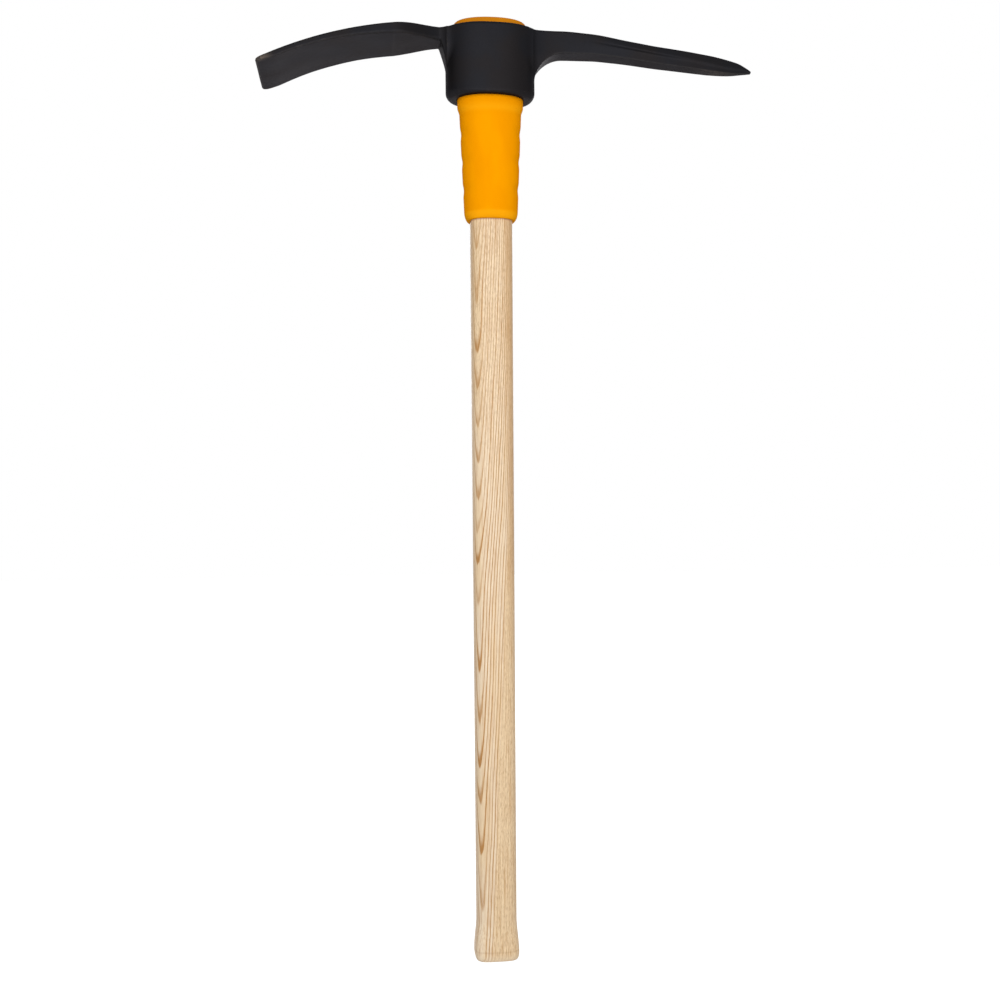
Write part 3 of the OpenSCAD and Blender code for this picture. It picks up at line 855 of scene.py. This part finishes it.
# %% [markdown]
# The sleeve and the handle are both ovals stacked on a straight axis, so both are lofts: rings of points,
# joined by strips of faces. A ring can be squarer or rounder than an ellipse, and a ring's number of
# points is the same all the way, so the strips need no thought.

# %% Lofts over oval rings
RING_POINTS, EDGE_RINGS = 160, 13
RING_ANGLES = np.arange(RING_POINTS) * 2 * math.pi / RING_POINTS


def oval_ring(width, depth, height, square):
    cosine, sine = np.cos(RING_ANGLES), np.sin(RING_ANGLES)
    x = width / 2 * np.sign(cosine) * np.abs(cosine) ** (2 / square)
    y = depth / 2 * np.sign(sine) * np.abs(sine) ** (2 / square)
    return np.stack([x, y, np.full(RING_POINTS, height)], 1)


def strips(ring_count, closed):
    """Four-sided faces between each ring and the next, and back to the first if the loft is closed."""
    step = np.arange(RING_POINTS)
    turn = (step + 1) % RING_POINTS
    faces = []
    for ring in range(ring_count if closed else ring_count - 1):
        here, above = ring * RING_POINTS, (ring + 1) % ring_count * RING_POINTS
        faces += np.stack([here + step, here + turn, above + turn, above + step], 1).tolist()
    return faces


quarter = np.linspace(0, math.pi / 2, EDGE_RINGS)
print("each ring has", RING_POINTS, "points, and a rounded edge has", EDGE_RINGS, "rings")

# %% [markdown]
# The sleeve is one polymer moulding. Its crown shows above the eye, and below the eye it becomes a guard
# that saves the wood from a missed blow, with a step, three shallow dimples on each flank and a rounded
# lip. Its rings run up the outside and back down the inside, which makes a closed tube with a real wall.

# %% The sleeve's rings
sleeve_low, sleeve_high = node_box("overstrike_sleeve")
CROWN_TOP, LIP_BOTTOM = sleeve_high[2], sleeve_low[2]
HANDLE_TOP = node_box("handle")[1][2]
EYE_FIT, WOOD_FIT = 0.1, 0.1
BAND_W, LIP_D = BORE_BOTTOM_W - 2 * EYE_FIT, BORE_BOTTOM_D - 2 * EYE_FIT
CROWN_W, CROWN_D = BAND_W + BORE_TAPER_W, LIP_D + BORE_TAPER_D
STEP_W, LIP_W = 60.8, 52.0
BAND_H, STEP_H, LIP_H = 6.4, 8.0, 9.0
GUARD_SIDE_WALL, GUARD_FRONT_WALL, LIP_EDGE = 5.4, 4.4, 1.0
CROWN_EDGE, CROWN_EDGE_H = 3.2, 5.6
BAND_BOTTOM = EYE_BOTTOM - BAND_H
STEP_BOTTOM = BAND_BOTTOM - STEP_H
GUARD_H = STEP_BOTTOM - LIP_BOTTOM
DIMPLES, DIMPLE_START, DIMPLE_PITCH, DIMPLE_H, DIMPLE_DEPTH = 3, 18.5, 27.4, 16.0, 0.8
DIMPLE_WRAP, DIMPLE_FLAT_SHARE = math.radians(58), 0.5
HANDLE_SQUARE = 2.9
SHOULDER_W, SHOULDER_D = 41.0, 34.5
SPREAD_H, SPREAD_GROWTH = 48.0, 4.0
SPREAD_BOTTOM = HANDLE_TOP - SPREAD_H
GUARD_RINGS, STEP_RINGS = 120, 15
SLEEVE_CRISP_ANGLE = 40


def socket_ring(height, room):
    """The handle's section at a height, with room round it."""
    depth = SHOULDER_D + max(0, height - SPREAD_BOTTOM) * SPREAD_GROWTH / SPREAD_H
    return oval_ring(SHOULDER_W + 2 * room, depth + 2 * room, height, HANDLE_SQUARE)


def guard_ring(height):
    inset = hollow((height - LIP_BOTTOM) / LIP_H)
    width = mix(LIP_W, STEP_W, (height - LIP_BOTTOM) / GUARD_H) - 2 * (GUARD_SIDE_WALL - LIP_EDGE) * inset
    depth = LIP_D - 2 * (GUARD_FRONT_WALL - LIP_EDGE) * inset
    middles = STEP_BOTTOM - DIMPLE_START - DIMPLE_PITCH * np.arange(DIMPLES)
    near = np.abs(height - middles).min() / (DIMPLE_H / 2)
    round_flank = np.abs(np.sin(RING_ANGLES)) / math.sin(DIMPLE_WRAP)
    reach = 1 - ease((round_flank - DIMPLE_FLAT_SHARE) / (1 - DIMPLE_FLAT_SHARE))
    dent = DIMPLE_DEPTH * (1 - ease(near)) * reach
    ring = oval_ring(1, 1, height, mix(SLEEVE_SQUARE, HANDLE_SQUARE, inset))
    ring[:, 0] *= width - 2 * dent
    ring[:, 1] *= depth - 2 * dent
    return ring


def sleeve_rings():
    lip = [guard_ring(LIP_BOTTOM + LIP_H * (1 - math.cos(turn))) for turn in quarter[:-1]]
    guard_heights = np.linspace(LIP_BOTTOM + LIP_H, STEP_BOTTOM, GUARD_RINGS)
    guard = [guard_ring(height) for height in guard_heights[:-1]]
    step = []
    for share in np.linspace(0, 1, STEP_RINGS):
        width = mix(STEP_W, BAND_W, ease(share))
        step.append(oval_ring(width, LIP_D, mix(STEP_BOTTOM, BAND_BOTTOM, share), SLEEVE_SQUARE))
    seat = [oval_ring(BAND_W, LIP_D, EYE_BOTTOM, SLEEVE_SQUARE),
            oval_ring(CROWN_W, CROWN_D, EYE_TOP, CROWN_SQUARE)]
    crown = []
    for turn in quarter:
        inset = CROWN_EDGE * (1 - math.cos(turn))
        height = CROWN_TOP - CROWN_EDGE_H * (1 - math.sin(turn))
        crown.append(oval_ring(CROWN_W - 2 * inset, CROWN_D - 2 * inset, height, CROWN_SQUARE))
    socket_heights = (CROWN_TOP, HANDLE_TOP, SPREAD_BOTTOM, LIP_BOTTOM)
    inside = [socket_ring(height, WOOD_FIT) for height in socket_heights]
    return lip + guard + step + seat + crown + inside


rings = sleeve_rings()
polymer_sleeve = piece_from("polymer_sleeve", np.concatenate(rings), strips(len(rings), True),
                            "overstrike_sleeve", SLEEVE_CRISP_ANGLE)

# %% [markdown]
# The polymer is a strong orange with a satin skin. A moulding is even in colour, but not perfectly so: it
# is a little deeper where the melt flowed slowly, and its mould was lightly textured, which keeps
# highlights soft. The crown above the eye gets a darker painted shade, while the step and the lip get a
# paler painted highlight. A mix by height is enough for all three.

# %% Orange polymer
POLYMER_BRIGHT = srgb(252, 161, 0)
POLYMER_DEEP = srgb(247, 154, 0)
POLYMER_CROWN_SHADE = srgb(196, 121, 20)
# Painted highlight for the lip and the step.
POLYMER_PAINTED_HIGHLIGHT = srgb(254, 168, 12)
POLYMER_ROUGHNESS, POLYMER_GLOSS, POLYMER_BUMP = 0.6, 0.004, 0.04
POLYMER_FLOW, POLYMER_SKIN, FLOW_SPAN = (22, 22, 48), 0.7, (0.35, 0.7)
HIGHLIGHT_FADE, STEP_HIGHLIGHT_SHARE = 3.0, 0.8
CROWN_SHADE_SPAN = (EYE_TOP - 1, EYE_TOP + 2)


def sleeve_finish():
    tree, place = new_finish("orange_polymer")
    z = axis_of(place, "Z")
    flow = grain(place, POLYMER_FLOW)
    skin = grain(place, POLYMER_SKIN, rough=0.6)
    lip = 1 - soft_step(z, LIP_BOTTOM + LIP_H - HIGHLIGHT_FADE, LIP_BOTTOM + LIP_H)
    above_step = soft_step(z, BAND_BOTTOM - 2 * HIGHLIGHT_FADE, BAND_BOTTOM + HIGHLIGHT_FADE)
    step = soft_step(z, STEP_BOTTOM - HIGHLIGHT_FADE, STEP_BOTTOM + HIGHLIGHT_FADE) * (1 - above_step)
    colour = layered(
        POLYMER_BRIGHT,
        (POLYMER_DEEP, soft_step(flow, *FLOW_SPAN)),
        # Painted highlight on the lip and the step.
        (POLYMER_PAINTED_HIGHLIGHT, lip.larger(step * STEP_HIGHLIGHT_SHARE)),
        # Painted shade on the crown above the eye.
        (POLYMER_CROWN_SHADE, soft_step(z, *CROWN_SHADE_SPAN) * (0.75 + 0.4 * flow)))
    return finished(tree, {
        "Base Color": colour,
        "Roughness": POLYMER_ROUGHNESS + 0.08 * flow + 0.06 * skin,
        "Specular IOR Level": POLYMER_GLOSS,
        "Normal": bumped(skin, POLYMER_BUMP, strength=0.5)})


dress(polymer_sleeve, sleeve_finish())

# %% [markdown]
# The handle is one length of ash, turned and sanded to a squarish oval. It is slimmest just above the
# butt, which flares so that it does not slip through the hands. The loft goes up to the top, and then a
# saw kerf and two cross slots are cut for the wedges. A Boolean is the right tool there, because a saw
# cut is just that.

# %% The handle
GRIP_W, GRIP_D = 39.3, 33.0
BUTT_W, BUTT_D, BUTT_SQUARE = 43.4, 36.0, 4.0
FLARE_H, BUTT_EDGE_H, BUTT_EDGE = 34.0, 6.0, 2.4
TOP_EDGE = 0.5
FLARE_RINGS, GRIP_RINGS = 25, 80
WOOD_CRISP_ANGLE = 50


def handle_rings():
    rings = []
    for turn in quarter[:-1]:
        inset = 2 * BUTT_EDGE * (1 - math.sin(turn))
        height = BUTT_EDGE_H * (1 - math.cos(turn))
        rings.append(oval_ring(BUTT_W - inset, BUTT_D - inset, height, BUTT_SQUARE))
    for share in np.linspace(0, 1, FLARE_RINGS):
        even = ease(share)
        rings.append(oval_ring(mix(BUTT_W, GRIP_W, even), mix(BUTT_D, GRIP_D, even),
                               BUTT_EDGE_H + FLARE_H * share, mix(BUTT_SQUARE, HANDLE_SQUARE, even)))
    for share in np.linspace(0, 1, GRIP_RINGS)[1:]:
        rings.append(oval_ring(mix(GRIP_W, SHOULDER_W, share), mix(GRIP_D, SHOULDER_D, share),
                               mix(BUTT_EDGE_H + FLARE_H, LIP_BOTTOM, share), HANDLE_SQUARE))
    for height in (SPREAD_BOTTOM, HANDLE_TOP - TOP_EDGE):
        rings.append(socket_ring(height, 0))
    rings.append(socket_ring(HANDLE_TOP, -TOP_EDGE))
    return rings


rings = handle_rings()
last = (len(rings) - 1) * RING_POINTS
ends = [list(range(RING_POINTS))[::-1], list(range(last, last + RING_POINTS))]
ash_handle = piece_from("ash_handle", np.concatenate(rings), strips(len(rings), False) + ends,
                        "handle", WOOD_CRISP_ANGLE)

# %% [markdown]
# Each slot is a little larger than its wedge, so the wedge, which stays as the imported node, sits in it
# with a hair of room. The cutter is the wedge's own tapered block, grown on all sides and carried past
# the handle's end.

# %% Saw the slots for the wedges
CUT_OVERRUN = 1.0


def cutter(node, run_past):
    """A tapered block round a packed wedge, to be cut out of the handle."""
    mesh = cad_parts[node].data
    points = np.array([point.co for point in mesh.vertices]) * METRE
    foot = points[points[:, 2] < points[:, 2].min() + TINY * METRE]
    end = points[points[:, 2] > points[:, 2].max() - TINY * METRE]
    corners = []
    for level, height in ((foot, foot[0, 2] - WOOD_FIT), (end, end[0, 2] + CUT_OVERRUN)):
        low, high = level.min(0) - WOOD_FIT, level.max(0) + WOOD_FIT
        low[0], high[0] = low[0] - run_past, high[0] + run_past
        corners += [(low[0], low[1], height), (high[0], low[1], height),
                    (high[0], high[1], height), (low[0], high[1], height)]
    sides = [(0, 1, 5, 4), (1, 2, 6, 5), (2, 3, 7, 6), (3, 0, 4, 7), (3, 2, 1, 0), (4, 5, 6, 7)]
    return placed("slot", mesh_of("slot", corners, sides))


def saw(piece, cutters):
    for block in cutters:
        modifier = piece.modifiers.new("slot", "BOOLEAN")
        modifier.object = block
        modifier.operation = "DIFFERENCE"
        modifier.solver = "EXACT"
    graph = bpy.context.evaluated_depsgraph_get()
    sawn = bpy.data.meshes.new_from_object(piece.evaluated_get(graph))
    piece.modifiers.clear()
    piece.data = sawn
    for block in cutters:
        bpy.data.objects.remove(block)


kerf = cutter("kerf_wedge", SHOULDER_W)
saw(ash_handle, [kerf, cutter("adze_side_wedge", 0), cutter("pick_side_wedge", 0)])
print("sawn handle has", len(ash_handle.data.polygons), "faces")

# %% [markdown]
# Ash shows strong year rings: a pale dense band, then a thin tan line of open pores. The rings are
# cylinders round the tree's middle, and the handle is cut a little askew from them, which is why the
# lines run in long slanted streaks and close into pointed tongues along one side. So the finish works out
# each point's distance from a leaning pith line and divides it into rings, which crowd outwards as an old
# tree's do; streaks, tongues and the end grain then follow by themselves. On the pick's side some wide
# years leave a broad plain zone with short dashes of pores. A thin painted shadow runs round the wood
# under the sleeve's lip, the sides of the upper part are tanner, partly as painted shade, and the butt's
# rounded end is painted paler, as painted light. A fainter line marks where the butt's edge was sanded
# round.

# %% Ash wood
PITH_X, PITH_Y, PITH_LEAN = 60.0, 75.0, 0.03
RING_START, RING_WIDTH, RING_CROWDING = 100.0, 2.0, 0.0042
LINE_RISE, LINE_FALL = (0.0, 0.1), (0.16, 0.5)
SLOW_BENDS, SLOW_BEND_H, QUICK_BENDS, QUICK_BEND_H = (60, 60, 260), 5, (10, 10, 80), 1.2
BROAD_BENDS, BROAD_BEND_H, BROAD_FADE = (9, 9, 120), 6, (-5.6, -1.6)
BROAD_LEAN, BROAD_LIMIT = 0.045, 21.0
FIBRES, PORE_DASHES, TONES = (0.6, 0.6, 45), (0.55, 0.55, 5), (11, 11, 150)
FIBRE_SPAN, DASH_SPAN, TONE_SPAN = (0.45, 0.68), (0.47, 0.62), (0.42, 0.66)
UPPER_PART, FLANK_OUT, FLANK_UP = (420, 620), (8, 17), (260, 420)
SEAM_SHADOW_H = 2.2
SANDED_AND_LIT_H, SANDED_LINE = 9.5, 1.5
FLARE_SHARE = 1 - GRIP_W / BUTT_W
ASH_ROUGHNESS, ASH_GLOSS, ASH_BUMP = 0.44, 0.25, 0.04
ASH_PALE = srgb(246, 226, 197)
ASH_TAN = srgb(196, 148, 94)
ASH_LINE = srgb(187, 135, 78)
ASH_BROAD = srgb(242, 215, 175)
ASH_PORE = srgb(160, 112, 62)
SEAM_PAINTED_SHADOW = srgb(146, 102, 58)


def year_rings(place, x, y, z):
    """How open the wood is at a point, from 0 to 1: each year starts with a thin line of open pores."""
    wander = grain(place, SLOW_BENDS) * SLOW_BEND_H + grain(place, QUICK_BENDS) * QUICK_BEND_H
    from_pith = ((x - PITH_X) * (x - PITH_X) + (y - PITH_Y) * (y - PITH_Y)) ** 0.5
    grown = from_pith + PITH_LEAN * z + wander - RING_START
    rings = grown / RING_WIDTH + RING_CROWDING * grown * grown
    share = rings.math("FRACT", rings)
    number = rings.math("FLOOR", rings)
    year = x.tree.node("ShaderNodeTexWhiteNoise", {"noise_dimensions": "1D"}, {"W": number})
    line = soft_step(share, *LINE_RISE) * (1 - soft_step(share, *LINE_FALL))
    return line * (0.45 + 0.65 * year)


def ash_finish():
    tree, place = new_finish("lacquered_ash")
    z = axis_of(place, "Z")
    slim = 1 - FLARE_SHARE * (1 - soft_step(z, BUTT_EDGE_H, BUTT_EDGE_H + FLARE_H))
    x, y = axis_of(place, "X") * slim, axis_of(place, "Y") * slim
    open_wood = year_rings(place, x, y, z)
    broad_edge = x - (BROAD_LEAN * z).smaller(BROAD_LIMIT) + grain(place, BROAD_BENDS) * BROAD_BEND_H
    broad = soft_step(broad_edge, *BROAD_FADE)
    upper = soft_step(z, *UPPER_PART)
    flank = soft_step(abs(x), *FLANK_OUT)
    tan_flank = soft_step(x, *FLANK_OUT) * soft_step(z, *FLANK_UP)
    fibre = grain(place, FIBRES, detail=3, rough=0.6)
    dashes = soft_step(grain(place, PORE_DASHES, rough=0.6), *DASH_SPAN)
    tone = grain(place, TONES)
    # The upper part's sides are tanner: partly the wood's own tone, partly painted shade.
    wide = (broad * 0.9).larger(soft_step(tone, *TONE_SPAN) * 0.85).larger(upper * (0.5 + 0.5 * flank))
    pores = dashes * (0.2 + 0.8 * open_wood.larger(broad).larger(upper * 0.65))
    sanding = 1 - soft_step(abs(z - SANDED_AND_LIT_H), 0, SANDED_LINE)
    colour = layered(
        ASH_PALE,
        (ASH_BROAD, wide),
        (ASH_TAN, tan_flank * 0.45),
        (ASH_LINE, open_wood * (0.5 + 1.3 * fibre) * (1 - 0.75 * broad) * (1 - 0.15 * upper)),
        (ASH_TAN, soft_step(fibre, *FIBRE_SPAN) * 0.6),
        (ASH_PORE, pores * (0.5 - 0.16 * broad)),
        # Painted shadow round the wood under the sleeve's lip.
        (SEAM_PAINTED_SHADOW, soft_step(z, LIP_BOTTOM - SEAM_SHADOW_H, LIP_BOTTOM) * 0.5),
        # Painted light: the butt's rounded end is paler.
        (ASH_PALE, (1 - soft_step(z, 0, SANDED_AND_LIT_H)) * 0.6),
        (ASH_PORE, sanding * tone * 0.4))
    return finished(tree, {
        "Base Color": colour,
        "Roughness": ASH_ROUGHNESS + 0.16 * pores,
        "Specular IOR Level": ASH_GLOSS,
        "Normal": bumped(1 - pores, ASH_BUMP, strength=0.5)})


dress(ash_handle, ash_finish())

# %% [markdown]
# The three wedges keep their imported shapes, which are right as they are. Only their ends show, at the top
# of the handle. The wooden one is a darker raw hardwood whose fibres run down the wedge. The steel ones
# are bare and dull, with the bright scars of the hammer that drove them.

# %% Wedges
WEDGE_PALE = srgb(176, 132, 88)
WEDGE_DARK = srgb(128, 88, 54)
STEEL_BRIGHT = srgb(176, 176, 174)
STEEL_DULL = srgb(112, 110, 106)
WEDGE_BANDS, WEDGE_FIBRES, BAND_SPAN = (3, 1.2, 60), (0.5, 0.5, 14), (0.35, 0.65)
HAMMER_SCARS, BRUSH_MARKS, SCAR_SPAN = 2.5, (0.3, 4, 0.3), (0.45, 0.62)


def wedge_wood_finish():
    tree, place = new_finish("raw_hardwood")
    fibre = grain(place, WEDGE_FIBRES, detail=3, rough=0.6)
    bands = grain(place, WEDGE_BANDS) * 0.6 + fibre * 0.4
    return finished(tree, {
        "Base Color": layered(WEDGE_PALE, (WEDGE_DARK, soft_step(bands, *BAND_SPAN))),
        "Roughness": 0.6 + 0.2 * fibre,
        "Specular IOR Level": 0.2,
        "Normal": bumped(fibre, depth_mm=0.1, strength=0.6)})


def wedge_steel_finish():
    tree, place = new_finish("hammered_steel")
    scars = soft_step(grain(place, HAMMER_SCARS, detail=3, rough=0.6), *SCAR_SPAN)
    brush = grain(place, BRUSH_MARKS)
    return finished(tree, {
        "Base Color": layered(STEEL_DULL, (STEEL_BRIGHT, scars)),
        "Metallic": 1.0,
        "Roughness": 0.5 - 0.18 * scars + 0.1 * brush,
        "Normal": bumped(brush * 0.5 + scars, depth_mm=0.08, strength=0.5)})


wedge_steel = wedge_steel_finish()
dress(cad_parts["kerf_wedge"], wedge_wood_finish())
dress(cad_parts["adze_side_wedge"], wedge_steel)
dress(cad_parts["pick_side_wedge"], wedge_steel)
